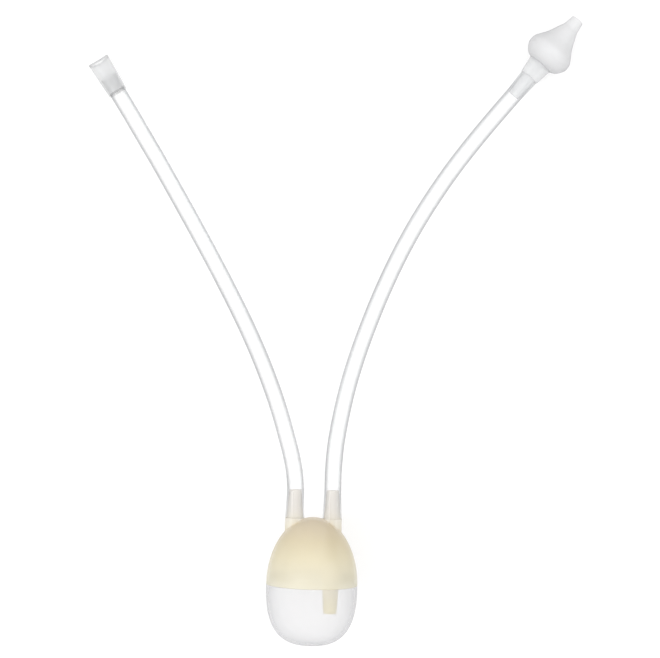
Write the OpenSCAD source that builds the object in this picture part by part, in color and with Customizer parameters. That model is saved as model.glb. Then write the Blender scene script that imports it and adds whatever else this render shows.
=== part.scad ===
// Mouth-suction nasal aspirator, laid flat on a table.
// An egg-shaped collecting bottle (cap, cup, seal ring and drip tube), two silicone
// hoses, a mouthpiece, and a nose tip on its hose connector.
// Millimetres. +X to the nose side, +Y from the cup to the spigots, +Z up from the table.
// The origin is on the table, under the middle of the box round all the rigid pieces.

/* [Bottle] */
// Largest outside diameter, at the seam between cap and cup
bottle_d = 43; // [38:0.5:54]
// Height of the cap's dome above the seam
cap_h = 31.8; // [26:0.1:40]
// Depth of the cup below the seam
cup_h = 28.2; // [23:0.1:36]
// Diameter of the flat foot under the cup
foot_d = 13; // [8:0.5:16]
// Wall of the dome and of the cup
bottle_wall = 1.3; // [1:0.1:1.8]
// Wall of the cap where the cup's neck plugs in
rim_wall = 1.5; // [1.2:0.1:2]
// Height of the cup's neck above the seam
neck_h = 5; // [4:0.1:8]
// Wall of the cup's neck
neck_wall = 1.9; // [1.6:0.1:2.4]
// Squareness of the cup's outline, where 2 is an ellipse
cup_squareness = 2.7; // [2.2:0.1:3.4]

/* [Seal ring] */
// Thickness of the seal ring's round section
ring_d = 1.2; // [0.8:0.1:1.4]
// Height of the seal ring above the seam
ring_y = 2.6; // [1.8:0.1:3]

/* [Spigots] */
// Distance between the two spigots
spigot_gap = 17.6; // [15:0.1:20]
// Length of the taper that the hose slides over
spigot_len = 13.5; // [11:0.1:17]
// How much wider than a hose's bore the taper's root is
root_stretch = 1.4; // [0.8:0.1:1.8]
// How much narrower than a hose's bore the taper's tip is
tip_slack = 0.4; // [0.2:0.1:0.6]
// How far the boss under a spigot stands out round the hose
boss_step = 0.05; // [0:0.05:0.4]
// Bore of both spigots
spigot_bore = 3; // [2:0.1:3.4]

/* [Drip tube] */
// Top of the drip tube above the seam
drip_top = 11.8; // [9:0.1:14]
// Bottom of the drip tube below the seam
drip_bottom = 13.5; // [10:0.1:17]
// Outside diameter of the drip tube at its top
drip_top_d = 9.4; // [8.2:0.1:10]
// Outside diameter of the drip tube at its bottom
drip_bottom_d = 6.3; // [5.4:0.1:7.6]
// Bore of the drip tube
drip_bore = 4; // [3:0.1:4.6]
// Length of the drip tube that is pushed onto the cap's nipple
drip_grip = 8; // [6:0.1:9]
// Outside diameter of the cap's nipple
nipple_d = 5.4; // [4.8:0.1:6]

/* [Hoses] */
// Outside diameter of both hoses
hose_d = 8; // [6.6:0.1:9.8]
// Bore of both hoses
hose_bore = 5; // [4.2:0.1:6]

/* [Mouthpiece] */
// Diameter of the mouthpiece at its rim
mouth_rim_d = 10.3; // [9.6:0.1:13]
// Wall of the mouthpiece round the hose
mouth_wall = 0.5; // [0.4:0.05:1.2]
// Depth of the socket that the hose plugs into
mouth_socket_len = 7.5; // [6:0.1:10]
// Length of the mouthpiece beyond the end of the hose
mouth_len = 9.2; // [8:0.1:12]
// Diameter of the flare at the rim
mouth_flare_d = 8.2; // [7:0.1:8.6]
// Depth of the dip across the rim
mouth_dip = 0.8; // [0.4:0.1:1.2]

/* [Nose connector] */
// Length of the connector's spigot inside the hose
plug_len = 11.4; // [9:0.1:14]
// Length of the flared collar
collar_len = 8.2; // [6.5:0.1:10]
// How far the collar stands out round the hose
collar_step = 0.3; // [0.1:0.05:0.6]
// Diameter of the collar at the nose tip
collar_flare_d = 11.8; // [11:0.1:12.6]
// Diameter of the stem that holds the nose tip
stem_d = 9; // [7.5:0.1:9.6]
// Length of the stem beyond the collar
stem_len = 7; // [5:0.1:9]
// Bore of the connector
connector_bore = 3; // [2:0.1:3.6]

/* [Nose tip] */
// Diameter of the bulb
bulb_d = 22.5; // [19:0.5:27]
// Length of the nose tip
tip_len = 27.5; // [24:0.5:33]
// Diameter of the nose tip's base
tip_base_d = 12.6; // [11.4:0.1:13.4]
// Diameter of the nozzle's end
nozzle_d = 6.4; // [5.4:0.1:7.4]
// Bore of the nozzle
nozzle_bore = 3; // [2:0.1:3.6]
// Wall of the bulb
tip_wall = 1.3; // [1:0.1:1.8]
// Thickness of the lip that grips the stem
lip_len = 2.2; // [1.6:0.1:3]

/* [Fits] */
// Gap round the cup's neck, in radius
neck_clear = 0.1; // [0.05:0.01:0.2]
// Gap round the seal ring, in radius
ring_clear = 0.03; // [0.01:0.01:0.05]
// Gap round what slides, in radius
slide_clear = 0.05; // [0.02:0.01:0.1]
// Gap between faces that meet
face_gap = 0.2; // [0.1:0.05:0.3]
// Thickness of the chamfer that leads a piece in
lead_in = 0.5; // [0.3:0.1:0.8]

/* [Hidden] */
$fn = 64;
STEPS = 24;       // points along a curved outline
HOSE_SIDES = 12;  // sides of a hose's section

bottle_r = bottle_d / 2;
rim_r = bottle_r - rim_wall;        // the cap's bore at the neck
neck_r = rim_r - neck_clear;        // the neck's outside
neck_bore_r = neck_r - neck_wall;
socket_h = neck_h + lead_in;        // depth of the cap's bore
ring_squeeze = 0.05;                // how much the ring is squeezed onto its groove's floor
ring_centre_r = rim_r - ring_clear - ring_d / 2;
ring_seat_r = ring_centre_r - ring_d / 2 + ring_squeeze;
groove_w = ring_d + 0.2;
nipple_bottom = drip_top - drip_grip;

// Every spigot is sized to the hoses' bore, and a stretched hose keeps its section's area.
spigot_root_d = hose_bore + root_stretch;
spigot_tip_d = hose_bore - tip_slack;
function spigot_r(f) = (spigot_root_d + (spigot_tip_d - spigot_root_d) * f) / 2;
function hose_bore_r(f) = max(hose_bore / 2, spigot_r(f) + slide_clear);
function hose_outer_r(bore_r) = sqrt(pow(bore_r, 2) + (pow(hose_d, 2) - pow(hose_bore, 2)) / 4);
stretched_r = hose_outer_r(hose_bore_r(0));
boss_r = stretched_r + boss_step;
socket_r = hose_d / 2 + slide_clear;  // the mouthpiece's bore round the hose
mouth_web = 1.5;                      // step in the mouthpiece that the hose stops at

// A hose seats where its boss comes clear of the dome.
spigot_x = spigot_gap / 2;
function dome_at(r) = cap_h * sqrt(1 - pow(r / bottle_r, 2));
seat_y = dome_at(spigot_x - boss_r);

// Where the bottle lies: the spigots' seats stay put, and the rest follows from them.
bottle_x = -5;
seats_y = -91.8;
seam_y = seats_y - seat_y;
axis_z = bottle_r;

// The hoses' far ends, and the bearing of each end, turned from +Y towards +X.
mouth_end = [-108.54, 115.13, max(mouth_rim_d / 2, socket_r + mouth_wall)];
mouth_bearing = -33;
nose_end = [92, 120, bulb_d / 2];
nose_bearing = 39;

// Between its two straight ends each hose sinks to the table and comes up to its fitting.
mouth_free_points = [
    [-14.6, -70, 21.3], [-16.3, -62, 20.8], [-18.6, -54, 20.1], [-22, -43, 18.5],
    [-26.4, -31, 16.2], [-31.4, -19, 13.6], [-37, -7, 10.9], [-43.1, 5, 8.3],
    [-49.6, 17, 6.2], [-56.3, 29, 4.8], [-63.2, 41, 4.1], [-70.2, 53, 4],
    [-77.3, 65, 4], [-84.5, 77, 4.1], [-91.95, 89, 4.4], [-98, 98.8, 4.85],
];
nose_free_points = [
    [3.8, -70, 21.3], [4.2, -62, 20.8], [5, -54, 20.1], [6.8, -43, 18.5],
    [9.3, -31, 16.2], [12.5, -19, 13.6], [16.3, -7, 10.9], [20.6, 5, 8.3],
    [25.3, 17, 6.2], [30.5, 29, 4.8], [36.3, 41, 4.1], [42.8, 53, 4.1],
    [50.1, 65, 4.8], [58.1, 77, 6.3], [67, 89, 8.3], [75.6, 99.9, 10.1],
];

function heading(bearing) = [sin(bearing), cos(bearing), 0];
function back_from(end, bearing, distance) = end - distance * heading(bearing);

// The points of a hose on a spigot of the bottle: at its seat, half way, and past its tip.
function off_spigot(x) = [for (y = [face_gap, spigot_len / 2, spigot_len + lead_in])
    [bottle_x + x, seats_y + y, axis_z]];
// The same on the connector's spigot, up to the hose's end.
onto_connector = [for (d = [plug_len + lead_in, plug_len / 2, 0]) back_from(nose_end, nose_bearing, d)];
mouth_route = concat(off_spigot(-spigot_x), mouth_free_points,
                     [back_from(mouth_end, mouth_bearing, mouth_socket_len), mouth_end]);
nose_route = concat(off_spigot(spigot_x), nose_free_points, onto_connector);

// ---- outlines, as [radius, height] points ----

// Quarter ellipse from the seam up to the apex.
function dome(r, h) = [for (i = [0:STEPS]) [r * cos(90 * i / STEPS), h * sin(90 * i / STEPS)]];

// Superellipse from the seam down to a flat foot of radius foot.
function bowl(r, depth, foot) =
    let (n = cup_squareness,
         full = depth / pow(1 - pow(foot / r, n), 1 / n),
         last = acos(pow(foot / r, n / 2)))
    [for (i = [0:STEPS])
        let (a = last * i / STEPS)
        [r * pow(cos(a), 2 / n), -full * pow(sin(a), 2 / n)]];
// The same outline from its foot up, without the point at the seam.
function upward(outline) = [for (i = [len(outline) - 1:-1:1]) outline[i]];

// Curve through points: each span is a cubic whose end slopes follow its neighbours.
function pick(p, i) = p[min(max(i, 0), len(p) - 1)];
function span(a, b, c, d, t) =
    b + t * (c - a) / 2 + t * t * (a - 2.5 * b + 2 * c - d / 2)
      + t * t * t * (1.5 * (b - c) + (d - a) / 2);
function through(p, cuts) = concat(
    [for (i = [0:len(p) - 2]) for (j = [0:cuts - 1])
        span(pick(p, i - 1), pick(p, i), pick(p, i + 1), pick(p, i + 2), j / cuts)],
    [p[len(p) - 1]]);

// Nose tip's outside, onion shaped: lip, bulb, waist and nozzle, from the base up.
bulb_r = bulb_d / 2;
base_r = tip_base_d / 2;
nozzle_r = nozzle_d / 2;
bulb_y = 0.23 * tip_len;    // height of the widest place
shoulder_y = 0.53 * tip_len;
waist_y = 0.73 * tip_len;
tip_points = [
    [base_r, 0],
    [base_r + 0.5 * (bulb_r - base_r), 0.05 * tip_len],
    [base_r + 0.93 * (bulb_r - base_r), 0.16 * tip_len],
    [bulb_r, bulb_y],
    [nozzle_r + 0.93 * (bulb_r - nozzle_r), 0.335 * tip_len],
    [nozzle_r + 0.51 * (bulb_r - nozzle_r), shoulder_y],
    [nozzle_r + 0.21 * (bulb_r - nozzle_r), waist_y],
    [nozzle_r + 0.08 * (bulb_r - nozzle_r), 0.82 * tip_len],
    [nozzle_r, 0.96 * tip_len],
];
tip_outline = through(tip_points, 4);
nozzle_bore_r = nozzle_bore / 2;
// The inside follows the outside: the wall is tip_wall at the bulb and what the bore leaves at
// the nozzle.
hollowing = (bulb_r - tip_wall - nozzle_bore_r) / (bulb_r - nozzle_r);
tip_cavity = [for (p = tip_outline)
    if (p[1] > lip_len) [nozzle_bore_r + hollowing * (p[0] - nozzle_r), p[1]]];

// ---- placing ----

module on_bottle() {
    translate([bottle_x, seam_y, axis_z]) rotate([-90, 0, 0]) children();
}

module at_end(end, bearing) {
    translate(end) rotate([-90, 0, -bearing]) children();
}

// ---- bottle ----

module bottle_cup() {
    foot_r = foot_d / 2;
    outside = bowl(bottle_r, cup_h, foot_r);
    inside = bowl(bottle_r - bottle_wall, cup_h - bottle_wall, foot_r);
    neck_top = [[neck_r, -face_gap], [neck_r, neck_h - lead_in], [neck_r - lead_in, neck_h]];
    body = concat([[0, -cup_h]], upward(outside), [[bottle_r, -face_gap]], neck_top, [[0, neck_h]]);
    mouth = [[neck_bore_r, 0], [neck_bore_r, neck_h + 1], [0, neck_h + 1]];
    cavity = concat([[0, bottle_wall - cup_h]], upward(inside), mouth);
    color([0.93, 0.94, 0.95, 0.6]) on_bottle() difference() {
        rotate_extrude() polygon(body);
        rotate_extrude() polygon(cavity);
        rotate_extrude() translate([ring_seat_r, ring_y - groove_w / 2]) square([ring_d + 1, groove_w]);
    }
}

module seal_ring() {
    color([0.97, 0.97, 0.97]) on_bottle()
        translate([0, 0, ring_y]) rotate_extrude() translate([ring_centre_r, 0]) circle(d = ring_d);
}

module bottle_cap() {
    inside = [for (p = dome(bottle_r - bottle_wall, cap_h - bottle_wall))
        if (p[1] > socket_h) [min(p[0], rim_r), p[1]]];
    cavity = concat([[0, -1], [rim_r, -1], [rim_r, socket_h]], inside);
    boss_root = cap_h / 2;
    color([0.96, 0.92, 0.76, 0.9]) on_bottle() difference() {
        union() {
            difference() {
                union() {
                    rotate_extrude() polygon(concat([[0, 0]], dome(bottle_r, cap_h)));
                    for (side = [-1, 1]) translate([side * spigot_x, 0, boss_root]) {
                        cylinder(r = boss_r, h = seat_y - boss_root);
                        translate([0, 0, seat_y - boss_root]) spigot(spigot_len);
                    }
                }
                rotate_extrude() polygon(cavity);
            }
            translate([spigot_x, 0, nipple_bottom]) cylinder(d = nipple_d, h = seat_y - nipple_bottom);
        }
        translate([-spigot_x, 0, boss_root]) cylinder(d = spigot_bore, h = cap_h + spigot_len);
        translate([spigot_x, 0, nipple_bottom - 1]) cylinder(d = spigot_bore, h = cap_h + seat_y + spigot_len);
    }
}

// Solid taper that a hose slides over, root down.
module spigot(len) {
    cylinder(d1 = spigot_root_d, d2 = spigot_tip_d, h = len);
}

module drip_tube() {
    color([0.95, 0.93, 0.82, 0.9]) on_bottle() translate([spigot_x, 0, 0]) difference() {
        translate([0, 0, -drip_bottom]) cylinder(d1 = drip_bottom_d, d2 = drip_top_d, h = drip_bottom + drip_top);
        translate([0, 0, -drip_bottom - 1]) cylinder(d = drip_bore, h = drip_bottom + drip_top + 2);
        translate([0, 0, nipple_bottom]) cylinder(d = nipple_d, h = drip_grip + 1);
    }
}

// ---- hoses ----

// The bore of a hose at its three points on a spigot.
on_taper = [for (f = [0, 0.5, 1]) hose_bore_r(f)];

// Ring of points round the route at point i, square to the route.
function unit(v) = v / norm(v);
function along(route, i) = unit(route[min(i + 1, len(route) - 1)] - route[max(i - 1, 0)]);
function ring(route, i, r) =
    let (t = along(route, i), across = unit(cross(t, [0, 0, 1])), up = cross(across, t))
    [for (k = [0:HOSE_SIDES - 1])
        let (a = 360 * k / HOSE_SIDES)
        route[i] + r * (cos(a) * across + sin(a) * up)];

// A tube along a route. bores holds its inside radius at each point of the route, and the
// flats of its many-sided bore keep to that radius.
module hose(route, bores) {
    n = len(route);
    s = HOSE_SIDES;
    outer = [for (i = [0:n - 1]) for (p = ring(route, i, hose_outer_r(bores[i]))) p];
    inner = [for (i = [0:n - 1]) for (p = ring(route, i, bores[i] / cos(180 / s))) p];
    sides = [for (i = [0:n - 2]) for (k = [0:s - 1])
        let (a = i * s + k, b = i * s + (k + 1) % s)
        each [[a, b, b + s], [a, b + s, a + s],
              [n * s + b, n * s + a, n * s + b + s], [n * s + b + s, n * s + a, n * s + a + s]]];
    last = (n - 1) * s;
    ends = [for (k = [0:s - 1])
        let (a = k, b = (k + 1) % s, c = n * s + a, d = n * s + b)
        each [[a, c, b], [b, c, d],
              [last + a, last + b, last + c], [last + b, last + d, last + c]]];
    polyhedron(points = concat(outer, inner), faces = concat(sides, ends));
}

module mouth_hose() {
    onward = [for (i = [3:len(mouth_route) - 1]) hose_bore / 2];
    color([0.95, 0.96, 0.97, 0.4]) hose(mouth_route, concat(on_taper, onward));
}

module nose_hose() {
    between = [for (p = nose_free_points) hose_bore / 2];
    off_taper = [for (i = [2:-1:0]) on_taper[i]];
    color([0.95, 0.96, 0.97, 0.4]) hose(nose_route, concat(on_taper, between, off_taper));
}

// ---- fittings ----

module mouthpiece() {
    rim_half = mouth_rim_d / 2;
    dip_r = (rim_half * rim_half / mouth_dip + mouth_dip) / 2;
    color([0.92, 0.93, 0.94, 0.8]) at_end(mouth_end, mouth_bearing) difference() {
        translate([0, 0, -mouth_socket_len])
            cylinder(r1 = socket_r + mouth_wall, r2 = rim_half, h = mouth_socket_len + mouth_len);
        translate([0, 0, -mouth_socket_len - 1])
            cylinder(r = socket_r, h = mouth_socket_len + 1 + face_gap);
        cylinder(d = hose_bore, h = mouth_len);
        translate([0, 0, mouth_web]) cylinder(d1 = hose_bore, d2 = mouth_flare_d, h = mouth_len - mouth_web);
        translate([0, 0, mouth_len - mouth_dip + dip_r])
            rotate([90, 0, 0]) cylinder(r = dip_r, h = mouth_rim_d + 2, center = true);
    }
}

module nose_connector() {
    color([0.92, 0.93, 0.94, 0.8]) at_end(nose_end, nose_bearing) difference() {
        union() {
            mirror([0, 0, 1]) spigot(plug_len);
            cylinder(d = spigot_root_d, h = collar_len);
            translate([0, 0, face_gap])
                cylinder(r1 = stretched_r + collar_step, r2 = collar_flare_d / 2, h = collar_len - face_gap);
            translate([0, 0, collar_len]) cylinder(d = stem_d, h = stem_len);
        }
        translate([0, 0, -plug_len - 1]) cylinder(d = connector_bore, h = plug_len + collar_len + stem_len + 2);
    }
}

module nose_tip() {
    end = [[nozzle_r - lead_in, tip_len], [0, tip_len]];
    cavity = concat([[0, lip_len]], tip_cavity, [[nozzle_bore_r, tip_len + 1], [0, tip_len + 1]]);
    color([0.93, 0.94, 0.95, 0.8]) at_end(nose_end, nose_bearing)
        translate([0, 0, collar_len + face_gap]) difference() {
            rotate_extrude() polygon(concat([[0, 0]], tip_outline, end));
            rotate_extrude() polygon(cavity);
            translate([0, 0, -1]) cylinder(r = stem_d / 2 + slide_clear, h = lip_len + 2);
        }
}

bottle_cup();
bottle_cap();
seal_ring();
drip_tube();
mouth_hose();
nose_hose();
mouthpiece();
nose_connector();
nose_tip();
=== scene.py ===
import math

import bmesh
import bpy
import numpy as np
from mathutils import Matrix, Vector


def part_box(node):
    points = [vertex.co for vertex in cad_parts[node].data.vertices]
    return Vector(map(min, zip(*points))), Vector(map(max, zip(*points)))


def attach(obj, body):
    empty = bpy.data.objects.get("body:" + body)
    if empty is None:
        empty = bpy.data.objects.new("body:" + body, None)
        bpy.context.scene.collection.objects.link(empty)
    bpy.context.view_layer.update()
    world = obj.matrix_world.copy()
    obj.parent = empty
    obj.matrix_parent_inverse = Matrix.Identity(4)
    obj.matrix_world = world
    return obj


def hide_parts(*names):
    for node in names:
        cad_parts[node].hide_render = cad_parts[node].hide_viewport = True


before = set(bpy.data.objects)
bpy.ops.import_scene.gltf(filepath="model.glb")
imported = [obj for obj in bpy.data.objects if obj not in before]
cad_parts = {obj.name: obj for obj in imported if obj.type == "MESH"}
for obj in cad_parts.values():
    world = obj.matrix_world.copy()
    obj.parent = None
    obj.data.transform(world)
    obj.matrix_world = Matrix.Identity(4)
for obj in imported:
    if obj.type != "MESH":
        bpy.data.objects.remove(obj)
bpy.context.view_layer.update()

MM = 0.001
UP = np.array([0.0, 0.0, 1.0])

# Sizes in millimetres, as the part's source has them.
CAP_H, CUP_H, FOOT_R = 31.8, 28.2, 6.5
WALL, RIM_WALL = 1.3, 1.5
NECK_H, NECK_WALL, NECK_CLEAR, FACE_GAP = 5.0, 1.9, 0.1, 0.2
SOCKET_H = 5.5
SQUARENESS = 2.7
RING_R, RING_Y, RING_CENTRE, RING_SEAT, GROOVE = 0.6, 2.6, 19.37, 18.82, 1.4
SPIGOT_X, SPIGOT_LEN, SPIGOT_ROOT, SPIGOT_TIP, SPIGOT_BORE = 8.8, 13.5, 3.2, 2.3, 1.5
BOSS_R = 4.557
NIPPLE_R, NIPPLE_BOTTOM = 2.7, 3.8
DRIP_TOP, DRIP_BOTTOM, DRIP_TOP_R, DRIP_BOTTOM_R, DRIP_BORE = 11.8, -13.5, 4.7, 3.15, 2.0
HOSE_R, HOSE_BORE = 4.0, 2.5
MOUTH_SOCKET, MOUTH_LEN, MOUTH_DIP = 7.5, 9.2, 0.8
MOUTH_R, MOUTH_RIM_R, MOUTH_FLARE = 4.55, 5.15, 4.1
PLUG_LEN, COLLAR_LEN, COLLAR_R, COLLAR_FLARE, STEM_R, STEM_LEN = 11.4, 8.2, 4.807, 5.9, 4.5, 7.0
TIP_LEN, TIP_BASE, TIP_WALL, LIP = 27.5, 6.3, 1.3, 2.2
BULB_R, NOZZLE_R, NOZZLE_BORE = 11.25, 3.2, 1.5

# Small sizes of this model's own, in millimetres: the room left round a piece that is plugged in,
# the gaps where a hose or the cup meets the cap, the lap of the nose tip over its collar, the
# fillet at a boss's foot, and how deep a boss goes into the dome.
ROOM, SEAT_GAP, SEAM_GAP, TIP_LAP = 0.05, 0.03, 0.05, 0.15
BOSS_FILLET, BOSS_ROOT = 0.35, 4.0

# The routes of the two hoses, from the bottle out.
MOUTH_ROUTE = np.array([
    [-13.8, -91.6, 21.5], [-13.8, -85.05, 21.5], [-13.8, -77.8, 21.5],
    [-14.6, -70, 21.3], [-16.3, -62, 20.8], [-18.6, -54, 20.1], [-22, -43, 18.5],
    [-26.4, -31, 16.2], [-31.4, -19, 13.6], [-37, -7, 10.9], [-43.1, 5, 8.3],
    [-49.6, 17, 6.2], [-56.3, 29, 4.8], [-63.2, 41, 4.1], [-70.2, 53, 4],
    [-77.3, 65, 4], [-84.5, 77, 4.1], [-91.95, 89, 4.4], [-98, 98.8, 4.85],
    [-104.455, 108.84, 5.15], [-108.54, 115.13, 5.15],
])
NOSE_ROUTE = np.array([
    [3.8, -91.6, 21.5], [3.8, -85.05, 21.5], [3.8, -77.8, 21.5],
    [3.8, -70, 21.3], [4.2, -62, 20.8], [5, -54, 20.1], [6.8, -43, 18.5],
    [9.3, -31, 16.2], [12.5, -19, 13.6], [16.3, -7, 10.9], [20.6, 5, 8.3],
    [25.3, 17, 6.2], [30.5, 29, 4.8], [36.3, 41, 4.1], [42.8, 53, 4.1],
    [50.1, 65, 4.8], [58.1, 77, 6.3], [67, 89, 8.3], [75.6, 99.9, 10.1],
    [84.511, 110.752, 11.25], [88.413, 115.57, 11.25], [92, 120, 11.25],
])
MOUTH_BEARING, NOSE_BEARING = math.radians(-33), math.radians(39)

# The bottle's radius, the middle of its seam, and the height of the bosses' ends above the seam.
lo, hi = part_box("bottle_cap")
BOTTLE_R = (hi.x - lo.x) / 2 / MM
bottle = np.array([(lo.x + hi.x) / 2 / MM, lo.y / MM, BOTTLE_R])
SEAT = MOUTH_ROUTE[0, 1] - FACE_GAP - bottle[1]


# ---- curves and grids ----

def through(points, cuts):
    """A smooth curve through points, with cuts to a span. On the span from b to c, whose
    neighbours are a and d, it is
    b + t (c - a) / 2 + t^2 (a - 2.5 b + 2 c - d / 2) + t^3 (1.5 (b - c) + (d - a) / 2)."""
    p = np.asarray(points, float)
    a, b, c, d = np.vstack([p[:1], p[:-2]]), p[:-1], p[1:], np.vstack([p[2:], p[-1:]])
    t = (np.arange(cuts) / cuts)[:, None, None]
    curve = (b + t * (c - a) / 2 + t**2 * (a - 2.5 * b + 2 * c - d / 2)
             + t**3 * (1.5 * (b - c) + (d - a) / 2))
    return np.vstack([curve.transpose(1, 0, 2).reshape(-1, p.shape[1]), p[-1:]])


def distinct(points):
    """points without those that repeat the one before."""
    steps = np.linalg.norm(np.diff(points, axis=0), axis=1)
    return points[np.concatenate([[True], steps > 1e-4])]


def rounded(corners, closed=True, steps=5):
    """An outline from (radius, height, rounding) corners. A corner C gives way to the curve
    (1 - t)^2 A + 2 t (1 - t) C + t^2 B, where A and B lie the rounding away from C along its two
    sides."""
    c = np.asarray(corners, float)
    if not closed:
        c[[0, -1], 2] = 0
    p, r = c[:, :2], c[:, 2:]
    back, on = np.roll(p, 1, axis=0) - p, np.roll(p, -1, axis=0) - p
    a = p + r * back / np.maximum(np.linalg.norm(back, axis=1, keepdims=True), 1e-9)
    b = p + r * on / np.maximum(np.linalg.norm(on, axis=1, keepdims=True), 1e-9)
    t = (np.arange(steps + 1) / steps)[:, None, None]
    out = ((1 - t)**2 * a + 2 * t * (1 - t) * p + t**2 * b).transpose(1, 0, 2).reshape(-1, 2)
    return distinct(np.vstack([out, out[:1]]) if closed else out)


def corners(points, rounding=0.0):
    """(radius, height) points as corners with one rounding."""
    p = np.asarray(points, float)
    return np.column_stack([p, np.full(len(p), rounding)])


def turned(outline, sectors=96):
    """The surface that an outline of (r, h) sweeps round its axis: (r cos a, r sin a, h)."""
    a = np.linspace(0, 2 * np.pi, sectors, endpoint=False)
    r, h = outline[:, :1], outline[:, 1:]
    return np.stack([r * np.cos(a), r * np.sin(a), h + 0 * a], axis=-1)


def placed(grid, origin, bearing=0.0, across=0.0):
    """A grid of (x, y, h) put on an axis that lies flat through origin: h runs along the bearing,
    which turns from +Y towards +X, x runs level across it, and y runs down. across moves it
    sideways first."""
    along = np.array([math.sin(bearing), math.cos(bearing), 0])
    side = np.array([math.cos(bearing), -math.sin(bearing), 0])
    x, y, h = grid[..., :1], grid[..., 1:2], grid[..., 2:]
    return np.asarray(origin) + (x + across) * side - y * UP + h * along


def swept(path, radius):
    """A round surface along a path: path + radius (cos a across + sin a up), where across is
    level and up is square to it and to the path."""
    run = np.gradient(path, axis=0)
    run /= np.linalg.norm(run, axis=1, keepdims=True)
    across = np.cross(run, UP)
    across /= np.linalg.norm(across, axis=1, keepdims=True)
    up = np.cross(across, run)
    a = np.linspace(0, 2 * np.pi, 64, endpoint=False)[:, None]
    round_path = np.cos(a) * across[:, None] + np.sin(a) * up[:, None]
    return path[:, None] + radius[:, None, None] * round_path


def piece(name, *grids, slots=None, grip=None):
    """One mesh from grids of points in mm, each closed round its columns. Neighbouring rows are
    joined by quads, doubles are merged at the poles and where a closed outline meets itself.
    slots gives the material slot of each row of quads, and grip a value for each row of points."""
    points, faces, start = [], [], 0
    for grid in grids:
        rows, columns = grid.shape[:2]
        i = np.arange(rows * columns).reshape(rows, columns) + start
        j = np.roll(i, -1, axis=1)
        faces.append(np.stack([i[:-1], j[:-1], j[1:], i[1:]], axis=-1).reshape(-1, 4))
        points.append(grid.reshape(-1, 3) * MM)
        start += rows * columns
    mesh = bpy.data.meshes.new(name)
    mesh.from_pydata(np.vstack(points).tolist(), [], np.vstack(faces).tolist())
    if slots is not None:
        mesh.polygons.foreach_set("material_index", np.repeat(slots, columns).astype(np.int32))
    if grip is not None:
        values = mesh.attributes.new("grip", "FLOAT", "POINT").data
        values.foreach_set("value", np.repeat(grip, columns))
    bm = bmesh.new()
    bm.from_mesh(mesh)
    bmesh.ops.remove_doubles(bm, verts=bm.verts, dist=2e-7)
    bmesh.ops.recalc_face_normals(bm, faces=bm.faces)
    bm.to_mesh(mesh)
    bm.free()
    mesh.shade_smooth()
    obj = bpy.data.objects.new(name, mesh)
    bpy.context.scene.collection.objects.link(obj)
    return obj


def combined(base, tool, operation):
    """base with tool joined to it or cut out of it. tool is used up."""
    cut = base.modifiers.new("combine", "BOOLEAN")
    cut.operation, cut.solver, cut.object = operation, "EXACT", tool
    bpy.context.view_layer.update()
    finished = base.evaluated_get(bpy.context.evaluated_depsgraph_get())
    mesh = bpy.data.meshes.new_from_object(finished)
    base.modifiers.clear()
    base.data = mesh
    bpy.data.objects.remove(tool)


def crease(obj, degrees):
    """Sharp edges where faces meet at more than this angle."""
    mesh = obj.data
    mesh.shade_smooth()
    mesh.set_sharp_from_angle(angle=math.radians(degrees))


# ---- camera and light ----

camera_data = bpy.data.cameras.new("camera")
camera_data.lens, camera_data.sensor_width = 120.1, 36
camera_data.clip_start, camera_data.clip_end = 0.05, 10
camera = bpy.data.objects.new("camera", camera_data)
camera.location = (0.00045, -0.0023, 1.06)
camera.rotation_euler = (0, 0, math.radians(1.5))
bpy.context.scene.collection.objects.link(camera)
bpy.context.scene.camera = camera
bpy.context.scene.view_settings.view_transform = "Standard"


def softbox(name, place, aim, size, power):
    """A square softbox at place, turned to face aim."""
    data = bpy.data.lights.new(name, "AREA")
    data.shape, data.size, data.energy = "SQUARE", size, power
    light = bpy.data.objects.new(name, data)
    light.location = place
    away = np.array(place) - np.array(aim)
    away /= np.linalg.norm(away)
    light.rotation_euler = (math.acos(away[2]), 0, math.atan2(away[1], away[0]) + math.pi / 2)
    bpy.context.scene.collection.objects.link(light)


bottle_place = tuple(bottle * MM)
softbox("key_softbox", (-0.75, -0.25, 0.9), bottle_place, 0.5, 3.0)
softbox("fill_softbox", (0.8, 0.3, 0.8), (0.02, 0.0, 0.0), 0.6, 1.7)


# ---- finishes ----

PLASTIC_IOR, SILICONE_IOR, HOSE_IOR = 1.49, 1.41, 1.25


def colour(code):
    """An sRGB hex colour as linear RGBA."""
    s = np.array([int(code[i:i + 2], 16) for i in (0, 2, 4)]) / 255
    linear = np.where(s <= 0.04045, s / 12.92, ((s + 0.055) / 1.055)**2.4)
    return (*linear.tolist(), 1.0)


def node(tree, kind, settings=None, inputs=None):
    """Adds a node, with its settings, and its inputs as values or as the sockets that feed them."""
    n = tree.nodes.new(kind)
    for key, value in (settings or {}).items():
        setattr(n, key, value)
    for key, value in (inputs or {}).items():
        if isinstance(value, bpy.types.NodeSocket):
            tree.links.new(value, n.inputs[key])
        else:
            n.inputs[key].default_value = value
    return n


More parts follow.
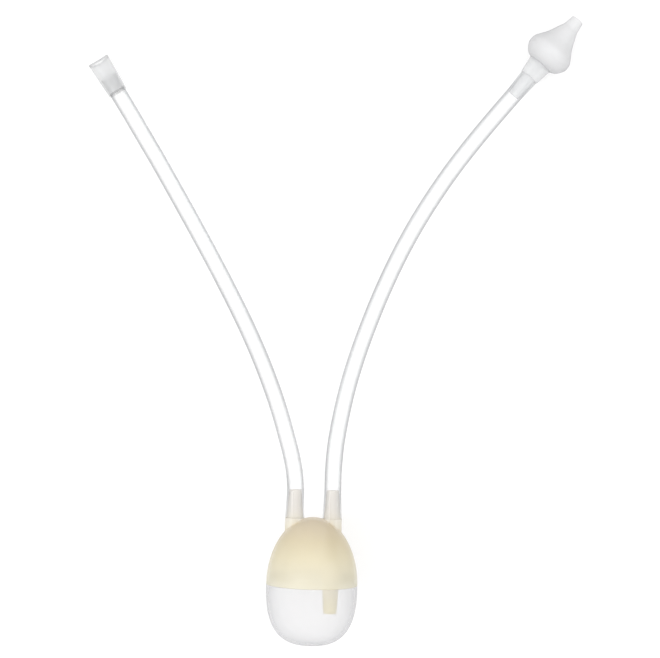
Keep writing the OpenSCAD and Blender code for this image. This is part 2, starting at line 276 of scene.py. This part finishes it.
def finish(name, shader, detail=None, passes_light=False):
    """A material of one Principled shader. detail(tree) gives the inputs that nodes feed. A clear
    material casts dark shadows unless it passes_light, when lamplight and scattered light go
    straight through."""
    material = bpy.data.materials.new(name)
    material.use_nodes = True
    tree = material.node_tree
    tree.nodes.clear()
    inputs = dict(shader)
    if detail:
        inputs.update(detail(tree))
    surface = node(tree, "ShaderNodeBsdfPrincipled", inputs=inputs).outputs["BSDF"]
    if passes_light:
        ray = node(tree, "ShaderNodeLightPath").outputs
        straight = node(tree, "ShaderNodeMath", {"operation": "MAXIMUM"}, {
            0: ray["Is Shadow Ray"], 1: ray["Is Diffuse Ray"]}).outputs["Value"]
        surface = node(tree, "ShaderNodeMixShader", inputs={
            0: straight, 1: surface,
            2: node(tree, "ShaderNodeBsdfTransparent").outputs["BSDF"]}).outputs["Shader"]
    node(tree, "ShaderNodeOutputMaterial", inputs={"Surface": surface})
    return material


def per_metre(size_mm):
    """The scale of a pattern whose features are this many millimetres across."""
    return 1 / (size_mm * MM)


def grain(tree, size_mm, height_mm):
    """The normal of a moulded surface with grain of this size and height."""
    place = node(tree, "ShaderNodeTexCoord").outputs["Object"]
    noise = node(tree, "ShaderNodeTexNoise", inputs={
        "Vector": place, "Scale": per_metre(size_mm), "Detail": 3.0, "Roughness": 0.6})
    return node(tree, "ShaderNodeBump", inputs={
        "Height": noise.outputs["Fac"], "Distance": height_mm * MM}).outputs["Normal"]


def along_bottle(tree, low_mm, high_mm):
    """0 to 1 along the bottle's axis between two heights above the seam."""
    place = node(tree, "ShaderNodeTexCoord").outputs["Object"]
    y = node(tree, "ShaderNodeSeparateXYZ", inputs={"Vector": place}).outputs["Y"]
    return node(tree, "ShaderNodeMapRange", {"interpolation_type": "SMOOTHSTEP"}, {
        "Value": y, "From Min": (bottle[1] + low_mm) * MM, "From Max": (bottle[1] + high_mm) * MM,
    }).outputs["Result"]


def ramp(tree, factor, *stops):
    """Colours at places between 0 and 1."""
    n = node(tree, "ShaderNodeValToRGB", inputs={"Fac": factor})
    while len(n.color_ramp.elements) < len(stops):
        n.color_ramp.elements.new(0.5)
    for element, (place, code) in zip(n.color_ramp.elements, stops):
        element.position, element.color = place, colour(code)
    return n.outputs["Color"]


def painted_edge_shading(tree, *stops):
    """Painted shading: colours from where a wall is seen face on, at 0, to where it is seen edge
    on, at 1.
    """
    facing = node(tree, "ShaderNodeLayerWeight", inputs={"Blend": 0.5}).outputs["Facing"]
    return ramp(tree, facing, *stops)


def cap_tint_and_painted_shade(tree):
    """The dome's colour by height, with painted shade that deepens it towards the apex and painted
    light that pales it towards the seam, and the paler colour of what stands clear of the dome,
    which that painting leaves out: there sqrt((x / R)^2 + (y / H)^2 + (z / R)^2), taken from the
    seam's centre, is more than 1."""
    dome_tint_and_painted_shade = ramp(tree, along_bottle(tree, 0, CAP_H),
                     (0.0, "F8F2DC"), (0.4, "F6EDD0"), (0.75, "EFE3C4"), (1.0, "ECDEC4"))
    boss_tint = ramp(tree, along_bottle(tree, 18, 38),
                     (0.0, "F8F0CE"), (0.5, "F8F2E0"), (1.0, "F2EEE8"))
    place = node(tree, "ShaderNodeTexCoord").outputs["Object"]
    from_seam = node(tree, "ShaderNodeVectorMath", {"operation": "SUBTRACT"}, {
        0: place, 1: tuple(bottle * MM)}).outputs["Vector"]
    shaped = node(tree, "ShaderNodeVectorMath", {"operation": "DIVIDE"}, {
        0: from_seam, 1: (BOTTLE_R * MM, CAP_H * MM, BOTTLE_R * MM)}).outputs["Vector"]
    size = node(tree, "ShaderNodeVectorMath", {"operation": "LENGTH"}, {0: shaped}).outputs["Value"]
    stands = node(tree, "ShaderNodeMapRange", inputs={
        "Value": size, "From Min": 1.005, "From Max": 1.03}).outputs["Result"]
    return node(tree, "ShaderNodeMix", {"data_type": "RGBA"}, {
        0: stands, 6: dome_tint_and_painted_shade, 7: boss_tint}).outputs[2]


# Tinted polypropylene, injection moulded: milky, a little see-through, with a soft shine. Its
# colour is painted deeper towards the top, as painted shade where it curves away, and paler
# towards the seam, as painted light where the cup's neck backs it.
cream_plastic = finish(
    "tinted_polypropylene", {"Roughness": 0.42, "IOR": PLASTIC_IOR, "Alpha": 0.58},
    lambda tree: {"Base Color": cap_tint_and_painted_shade(tree), "Normal": grain(tree, 1.4, 0.02)})

# Clear polypropylene with a frosted face: near white, and what is behind it shows softly. Its grey
# towards the edges, where the wall is seen edge on, is painted shade.
frosted_clear_plastic = finish(
    "frosted_polypropylene", {"Roughness": 0.45, "IOR": PLASTIC_IOR, "Alpha": 0.33},
    lambda tree: {
        "Base Color": painted_edge_shading(
            tree, (0.0, "FAF9FB"), (0.3, "F4F4F7"), (0.5, "E4E4E8"), (0.6, "D6D6DB"),
            (0.75, "C0C0C7"), (0.88, "B2B2B9"), (1.0, "A0A0A8")),
        "Normal": grain(tree, 1.2, 0.02)})

# The cup's inner face, which only clouds what is seen through it: the frosting hides its gloss.
clear_plastic_inside = finish(
    "polypropylene_inner_face",
    {"Roughness": 0.6, "IOR": PLASTIC_IOR, "Specular IOR Level": 0.0, "Alpha": 0.04},
    lambda tree: {
        "Base Color": ramp(tree, along_bottle(tree, -30, 5), (0.0, "F6F6F8"), (1.0, "F0F0F4")),
        "Normal": grain(tree, 2.0, 0.01)})

# Natural polypropylene tube: ivory, and waxy rather than clear. It is paler towards its top,
# inside the cap, and that paling is painted light.
ivory_plastic = finish(
    "natural_polypropylene", {"Roughness": 0.38, "IOR": PLASTIC_IOR},
    lambda tree: {
        "Base Color": ramp(tree, along_bottle(tree, -14, 12), (0.0, "E8DDAE"), (1.0, "F6EEDE")),
        "Normal": grain(tree, 1.0, 0.01)})


def silicone_painted_edge(tree):
    """Clear silicone's colour: white face on, with painted shade that turns it grey where the wall
    is seen edge on, and less so where the mesh's grip value says that a pale fitting holds the
    hose."""
    free = painted_edge_shading(tree, (0.0, "FFFFFF"), (0.13, "FAFAFB"), (0.24, "E2E3E4"), (0.36, "C4C5C7"),
                     (0.5, "B0B1B3"), (0.75, "B0B1B3"), (1.0, "CACBCD"))
    held = painted_edge_shading(tree, (0.0, "FFFFFF"), (0.25, "F2F2F3"), (0.5, "DCDDDE"), (1.0, "DCDDDE"))
    grip = node(tree, "ShaderNodeAttribute", {"attribute_name": "grip"}).outputs["Fac"]
    return node(tree, "ShaderNodeMix", {"data_type": "RGBA"}, {
        0: grip, 6: free, 7: held}).outputs[2]


# Extruded clear silicone: clear, with a greasy gloss and with grey edges that are painted shade. A
# tube bends light less than a rod does, and only its outer face does so here, so HOSE_IOR is below
# silicone's own.
clear_silicone = finish(
    "extruded_clear_silicone", {"Roughness": 0.03, "IOR": HOSE_IOR, "Transmission Weight": 1.0},
    lambda tree: {"Base Color": silicone_painted_edge(tree)}, passes_light=True)

# The same silicone inside its bore, where it only dims what is behind it by a trace.
silicone_bore = finish("silicone_bore", {
    "Roughness": 0.1, "IOR": SILICONE_IOR, "Alpha": 0.02, "Base Color": colour("F8F8FA")})

# Frosted polypropylene fitting, moulded: near white and cloudy, with a soft shine. Its grey
# towards the edges, where the wall is seen edge on, is painted shade.
frosted_plastic = finish(
    "frosted_fitting_plastic", {"Roughness": 0.34, "IOR": PLASTIC_IOR, "Alpha": 0.52},
    lambda tree: {
        "Base Color": painted_edge_shading(
            tree, (0.0, "F6F7F8"), (0.5, "F2F3F4"), (0.85, "E6E7E9"), (1.0, "C4C5C8")),
        "Normal": grain(tree, 1.1, 0.02)})

# The mouthpiece's wall is only half a millimetre, so it is clearer and greyer than the connector.
# Its darker grey where the wall is seen edge on is painted shade.
thin_frosted_plastic = finish(
    "thin_frosted_plastic", {"Roughness": 0.34, "IOR": PLASTIC_IOR, "Alpha": 0.36},
    lambda tree: {
        "Base Color": painted_edge_shading(
            tree, (0.0, "E2E3E4"), (0.5, "DFE0E1"), (0.85, "D6D7D9"), (1.0, "CACBCD")),
        "Normal": grain(tree, 1.1, 0.02)})

# Its socket, bore and ends, where light from all round evens the plastic out. Their slight paling
# where the wall is seen edge on is painted light.
frosted_plastic_inside = finish(
    "fitting_plastic_inner_face",
    {"Roughness": 0.6, "IOR": PLASTIC_IOR, "Specular IOR Level": 0.0, "Alpha": 0.1},
    lambda tree: {
        "Base Color": painted_edge_shading(tree, (0.0, "F6F7F8"), (1.0, "FCFCFC")),
        "Normal": grain(tree, 1.6, 0.01)})

# Liquid silicone rubber, moulded with a matt face: soft, milky and near white. Its grey towards
# the edges, where the wall is seen edge on, is painted shade.
frosted_silicone = finish(
    "moulded_milky_silicone", {"Roughness": 0.42, "IOR": SILICONE_IOR, "Alpha": 0.75},
    lambda tree: {
        "Base Color": painted_edge_shading(
            tree, (0.0, "F7F7F8"), (0.5, "F4F4F5"), (0.85, "E4E4E6"), (1.0, "B8B8BC")),
        "Normal": grain(tree, 1.3, 0.02)})

# The seal's silicone: opaque white with a dull skin.
seal_silicone = finish(
    "white_silicone", {"Roughness": 0.5, "IOR": SILICONE_IOR, "Base Color": colour("F2F2F0")},
    lambda tree: {"Normal": grain(tree, 0.8, 0.01)})


def shown(obj, body, node_name, slot, *materials):
    """Gives a piece its finishes and body, and hides the imported part of the node that it stands
    for.
    The slot is not used.
    """
    for material in materials:
        obj.data.materials.append(material)
    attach(obj, body)
    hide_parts(node_name)
    return obj


# ---- hoses ----

def hose(name, route, ends, socket=0.0):
    """A clear tube along a route. Its bore is the larger of its own radius and the taper inside it,
    and its outer radius is sqrt(bore^2 + R^2 - B^2), which keeps the stretched wall's section. The
    wall's four edges are rounded by rows that close in on its middle. Its grip goes from 0 where it
    is free to 1 where it is stretched most, or lies in the socket at its end."""
    path = distinct(through(route, 8))
    path[0, 1] -= FACE_GAP - SEAT_GAP
    run = np.concatenate([[0], np.cumsum(np.linalg.norm(np.diff(path, axis=0), axis=1))])
    bore = np.full(len(path), HOSE_BORE)
    for distance, length, root in ends(run):
        taper = root + ROOM + (SPIGOT_TIP - root) * distance / length
        bore = np.maximum(bore, np.where(distance < length, taper, 0))
    outer = np.sqrt(bore**2 + HOSE_R**2 - HOSE_BORE**2)
    middle = (bore + outer) / 2
    grid = np.concatenate([swept(path, middle)[:1], swept(path, outer), swept(path, middle)[-1:],
                           swept(path, bore)[::-1], swept(path, middle)[:1]])
    rows = np.arange(len(grid) - 1)
    grip = np.clip((bore - HOSE_BORE) / (SPIGOT_ROOT - HOSE_BORE), run > run[-1] - socket, 1)
    grip = np.concatenate([grip[:1], grip, grip[-1:], grip[::-1], grip[:1]])
    obj = piece(name, grid, slots=(rows < 1) | (rows >= len(path)), grip=grip)
    crease(obj, 40)
    return obj, path * MM, run[-1] * MM


mouth_hose, mouth_path, mouth_length = hose(
    "mouth_hose_tube", MOUTH_ROUTE, lambda run: [(run + FACE_GAP, SPIGOT_LEN, SPIGOT_ROOT)],
    MOUTH_SOCKET)
nose_hose, nose_path, nose_length = hose(
    "nose_hose_tube", NOSE_ROUTE, lambda run: [
        (run + FACE_GAP, SPIGOT_LEN, SPIGOT_ROOT), (run[-1] - run, PLUG_LEN, SPIGOT_ROOT)])
shown(mouth_hose, "mouth_line", "mouth_hose", "clear_silicone", clear_silicone, silicone_bore)
shown(nose_hose, "nose_line", "nose_hose", "clear_silicone", clear_silicone, silicone_bore)


# ---- bottle ----

def dome(radius, height, steps=72):
    """Quarter ellipse from the seam to the apex: (radius cos a, height sin a)."""
    a = np.linspace(0, np.pi / 2, steps)
    return np.column_stack([radius * np.cos(a), height * np.sin(a)])


def bowl(radius, depth, steps=72):
    """Superellipse from the seam down to the foot: (radius cos^(2/n) a, -full sin^(2/n) a)."""
    full = depth / (1 - (FOOT_R / radius)**SQUARENESS)**(1 / SQUARENESS)
    last = math.acos((FOOT_R / radius)**(SQUARENESS / 2))
    a = np.linspace(0, last, steps)
    power = 2 / SQUARENESS
    return np.column_stack([radius * np.cos(a)**power, -full * np.sin(a)**power])


def cup():
    """The cup turned from one outline: foot, bowl, seam, neck with the ring's groove, and the
    inside back down to the bottom. Its foot is dished a little inside a narrow standing ring. The
    inner face, all that comes after the neck's top, has a slot of its own."""
    bore = BOTTLE_R - RIM_WALL
    neck = bore - NECK_CLEAR
    outside = bowl(BOTTLE_R, CUP_H)[::-1]
    outline = np.vstack([
        [[0, 0.35 - CUP_H, 0], [FOOT_R - 2.2, 0.3 - CUP_H, 0.6], [FOOT_R - 1.4, -CUP_H, 0.4]],
        [[*outside[0], 1.2]], corners(outside[4:-3]),
        [[BOTTLE_R, -SEAM_GAP, 0.12], [neck, -SEAM_GAP, 0.1],
         [neck, RING_Y - GROOVE / 2, 0.1], [RING_SEAT, RING_Y - GROOVE / 2, 0.1],
         [RING_SEAT, RING_Y + GROOVE / 2, 0.1], [neck, RING_Y + GROOVE / 2, 0.1],
         [neck, NECK_H - 0.5, 0.2], [neck - 0.5, NECK_H, 0.2], [neck - NECK_WALL, NECK_H, 0.3],
         [neck - NECK_WALL, 0, 0.3]],
        corners(bowl(BOTTLE_R - WALL, CUP_H - WALL)[2:]), [[0, WALL - CUP_H, 0]]])
    outline = rounded(outline, closed=False)
    inside = np.arange(len(outline) - 1) > np.argmax(outline[:, 1])
    return piece("cup_shell", placed(turned(outline, 128), bottle), slots=inside)


def boss(side):
    """Boss and spigot on the dome. The boss's foot flares out and lies on the dome. At a distance d
    from the spigot's axis it has the dome's height H sqrt(1 - (x^2 + y^2) / R^2), where
    x = side + d cos a and y = d sin a, plus a curve that rises into the boss's wall."""
    a = np.linspace(0, 2 * np.pi, 96, endpoint=False)
    t = np.linspace(0, 1, 9)[:, None]
    r = BOSS_R + BOSS_FILLET * (1 - t)**2 * (1 + 0 * a)
    x, y = side + r * np.cos(a), r * np.sin(a)
    on_dome = CAP_H * np.sqrt(np.clip(1 - (x**2 + y**2) / BOTTLE_R**2, 0.02, 1))
    foot = np.stack([x, y, on_dome - 0.1 + BOSS_FILLET * t**2], axis=-1)
    sunk = foot[:1] - [0, 0, BOSS_ROOT]
    tip = SEAT + SPIGOT_LEN
    wall = turned(rounded([
        [BOSS_R, SEAT - 0.5, 0], [BOSS_R, SEAT, 0.05], [SPIGOT_ROOT, SEAT, 0.1],
        [SPIGOT_TIP, tip, 0.25], [0, tip, 0]], closed=False)[1:], 96)
    wall[..., 0] += side
    bottom = sunk.mean(axis=1, keepdims=True) + 0 * sunk
    return placed(np.concatenate([bottom, sunk, foot, wall]), bottle)


def rod(radius, low, high, side):
    """A closed round rod on the axis of one spigot, between two heights."""
    outline = np.array([[0, low], [radius, low], [radius, high], [0, high]])
    return piece("rod", placed(turned(outline, 64), bottle, across=side))


def cap():
    """The cap: dome with bosses and spigots, less its hollow, plus the nipple, less two bores."""
    outer = np.vstack([
        [[0, 0, 0], [BOTTLE_R, 0, 0.12]], corners(dome(BOTTLE_R, CAP_H)[2:-1]), [[0, CAP_H, 0]]])
    obj = piece("cap_shell", placed(turned(rounded(outer, closed=False), 128), bottle))
    for side in (-SPIGOT_X, SPIGOT_X):
        combined(obj, piece("boss", boss(side)), "UNION")
    bore = BOTTLE_R - RIM_WALL
    inside = dome(BOTTLE_R - WALL, CAP_H - WALL)
    inside = inside[inside[:, 1] > SOCKET_H][:-1]
    hollow = np.vstack([[[0, -1, 0], [bore + 0.3, -1, 0], [bore + 0.3, 0, 0], [bore, 0.3, 0],
                         [bore, SOCKET_H, 0]],
                        corners(np.column_stack([np.minimum(inside[:, 0], bore), inside[:, 1]])),
                        [[0, CAP_H - WALL, 0]]])
    hollow = piece("hollow", placed(turned(rounded(hollow, closed=False), 128), bottle))
    combined(obj, hollow, "DIFFERENCE")
    combined(obj, rod(NIPPLE_R, NIPPLE_BOTTOM, SEAT - 3, SPIGOT_X), "UNION")
    for side, low in ((-SPIGOT_X, CAP_H / 2), (SPIGOT_X, NIPPLE_BOTTOM - 1)):
        combined(obj, rod(SPIGOT_BORE, low, CAP_H + SPIGOT_LEN + 2, side), "DIFFERENCE")
    crease(obj, 35)
    return obj


def seal():
    """The seal ring: a circle of its thickness carried round the neck."""
    a = np.linspace(0, 2 * np.pi, 25)
    outline = np.column_stack([RING_CENTRE + RING_R * np.cos(a), RING_Y + RING_R * np.sin(a)])
    return piece("seal_o_ring", placed(turned(outline, 128), bottle))


def drip():
    """The drip tube: a taper with a bore, wider where it grips the nipple."""
    outline = rounded([
        [DRIP_BOTTOM_R, DRIP_BOTTOM, 0.3], [DRIP_TOP_R, DRIP_TOP, 0.4], [NIPPLE_R, DRIP_TOP, 0.2],
        [NIPPLE_R, NIPPLE_BOTTOM, 0], [DRIP_BORE, NIPPLE_BOTTOM, 0.1],
        [DRIP_BORE, DRIP_BOTTOM, 0.3]])
    return piece("drip_spout", placed(turned(outline, 64), bottle, across=SPIGOT_X))


shown(cup(), "cup", "bottle_cup", "frosted_clear_plastic", frosted_clear_plastic,
      clear_plastic_inside)
shown(cap(), "cap", "bottle_cap", "cream_plastic", cream_plastic)
shown(seal(), "cup", "seal_ring", "seal_silicone", seal_silicone)
shown(drip(), "cap", "drip_tube", "ivory_plastic", ivory_plastic)


# ---- fittings ----

def mouth_fitting():
    """The mouthpiece: a tube with a flared mouth. Heights above the web are scaled so that the rim
    follows a wide dip, (L - dip + D - sqrt(D^2 - x^2)) / L with D the dip's radius. The ends and
    the inside have a slot of their own: all but the outer wall and the outer edge of the rim."""
    web, steps, cuts = 1.5, 7, 2
    outline = rounded([
        [MOUTH_R, -MOUTH_SOCKET, 0.2], [MOUTH_RIM_R, MOUTH_LEN, 0.35],
        [MOUTH_FLARE, MOUTH_LEN, 0.3], [HOSE_BORE, web, 0.6], [HOSE_BORE, 0.2, 0.2],
        [HOSE_R + ROOM, 0.2, 0.1], [HOSE_R + ROOM, -MOUTH_SOCKET, 0.05]], steps=steps)
    fine = distinct(through(outline, cuts))
    rows = np.arange(len(fine) - 1)
    outside = (rows >= cuts * steps) & (rows < cuts * (2 * steps + 1))
    grid = turned(fine, 96)
    dip_r = (MOUTH_RIM_R**2 / MOUTH_DIP + MOUTH_DIP) / 2
    rim = (MOUTH_LEN - MOUTH_DIP + dip_r - np.sqrt(dip_r**2 - grid[..., 0]**2)) / MOUTH_LEN
    grid[..., 2] = np.where(grid[..., 2] > web, web + (grid[..., 2] - web) * rim, grid[..., 2])
    return piece("mouthpiece_fitting", placed(grid, MOUTH_ROUTE[-1], MOUTH_BEARING),
                 slots=~outside)


def nose_fitting():
    """The connector: spigot, flared collar with crisp edges, stem and a bore right through."""
    outline = rounded([
        [SPIGOT_TIP, -PLUG_LEN, 0.3], [SPIGOT_ROOT, 0, 0.1], [SPIGOT_ROOT, FACE_GAP, 0.05],
        [COLLAR_R, FACE_GAP, 0.25], [COLLAR_FLARE - 0.15, COLLAR_LEN - 1.0, 0.3],
        [COLLAR_FLARE, COLLAR_LEN, 0.25], [STEM_R, COLLAR_LEN, 0.2],
        [STEM_R, COLLAR_LEN + STEM_LEN, 0.4], [SPIGOT_BORE, COLLAR_LEN + STEM_LEN, 0.2],
        [SPIGOT_BORE, -PLUG_LEN, 0.2]])
    return piece("connector_fitting", placed(turned(outline, 96), NOSE_ROUTE[-1], NOSE_BEARING))


def soft_tip():
    """The nose tip: a smooth onion outline from lip to nozzle, a hollow that follows it, and a lip
    that grips the stem. The outline runs through shares of the bulb's width at shares of the
    tip's length, first up to the bulb and then down to the nozzle."""
    swell = np.array([[0, 0], [0.5, 0.05], [0.93, 0.16], [1, 0.23]])
    slim = np.array([[0.93, 0.335], [0.51, 0.53], [0.21, 0.73], [0.08, 0.82], [0, 0.96]])
    skin = through(np.vstack([
        swell * [BULB_R - TIP_BASE, TIP_LEN] + [TIP_BASE, 0],
        slim * [BULB_R - NOZZLE_R, TIP_LEN] + [NOZZLE_R, 0]]), 10)
    hollowing = (BULB_R - TIP_WALL - NOZZLE_BORE) / (BULB_R - NOZZLE_R)
    hollow = np.column_stack([NOZZLE_BORE + hollowing * (skin[:, 0] - NOZZLE_R), skin[:, 1]])
    hollow = hollow[hollow[:, 1] > LIP + 0.3][::-1]
    outline = rounded(np.vstack([
        [[COLLAR_FLARE, -TIP_LAP, 0.1]], corners(skin[1:]),
        [[NOZZLE_R - 0.1, TIP_LEN, 0.7], [NOZZLE_BORE, TIP_LEN, 0.3]], corners(hollow),
        [[hollow[-1, 0] - 0.3, LIP, 0.2], [STEM_R + ROOM, LIP, 0.3],
         [STEM_R + ROOM, -TIP_LAP, 0.1]]]))
    outline[:, 1] += COLLAR_LEN + FACE_GAP
    return piece("soft_nose_tip", placed(turned(outline, 128), NOSE_ROUTE[-1], NOSE_BEARING))


mouth_end = shown(mouth_fitting(), "mouth_end", "mouthpiece", "frosted_plastic",
                  thin_frosted_plastic, frosted_plastic_inside)
connector = shown(nose_fitting(), "nose_fitting", "nose_connector", "frosted_plastic",
                  frosted_plastic)
nose_tip = shown(soft_tip(), "nose_end", "nose_tip", "frosted_silicone", frosted_silicone)


# ---- floor and sky ----

floor_mesh = bpy.data.meshes.new("floor")
half = 3.0
floor_mesh.from_pydata([(-half, -half, 0), (half, -half, 0), (half, half, 0), (-half, half, 0)],
                       [], [(0, 1, 2, 3)])
floor = bpy.data.objects.new("floor", floor_mesh)
bpy.context.scene.collection.objects.link(floor)


def table_glow(tree):
    """The table's own glow. Less of it lights the object's sides than meets the eye."""
    ray = node(tree, "ShaderNodeLightPath").outputs
    seen = node(tree, "ShaderNodeMath", {"operation": "MAXIMUM"}, {
        0: ray["Is Camera Ray"], 1: ray["Is Transmission Ray"]}).outputs["Value"]
    return {"Emission Strength": node(tree, "ShaderNodeMapRange", inputs={
        "Value": seen, "To Min": 0.4, "To Max": 0.68}).outputs["Result"]}


# White table, painted and evenly lit: no gloss and hardly a shadow.
floor_mesh.materials.append(finish("white_table", {
    "Base Color": colour("A2A2A2"), "Roughness": 0.9, "Specular IOR Level": 0.0,
    "Emission Color": colour("FFFFFF")}, table_glow))

# A white studio, darker towards the horizon so that the object's sides are shaded.
world = bpy.data.worlds.new("studio")
world.use_nodes = True
bpy.context.scene.world = world
sky = world.node_tree
sky.nodes.clear()
height = node(sky, "ShaderNodeSeparateXYZ", inputs={
    "Vector": node(sky, "ShaderNodeTexCoord").outputs["Generated"]}).outputs["Z"]
level = node(sky, "ShaderNodeMapRange", {"interpolation_type": "SMOOTHSTEP"}, {
    "Value": height, "From Max": 0.7, "To Min": 0.45}).outputs["Result"]
background = node(sky, "ShaderNodeBackground", inputs={
    "Color": colour("FFFFFF"), "Strength": level})
node(sky, "ShaderNodeOutputWorld", inputs={"Surface": background.outputs["Background"]})
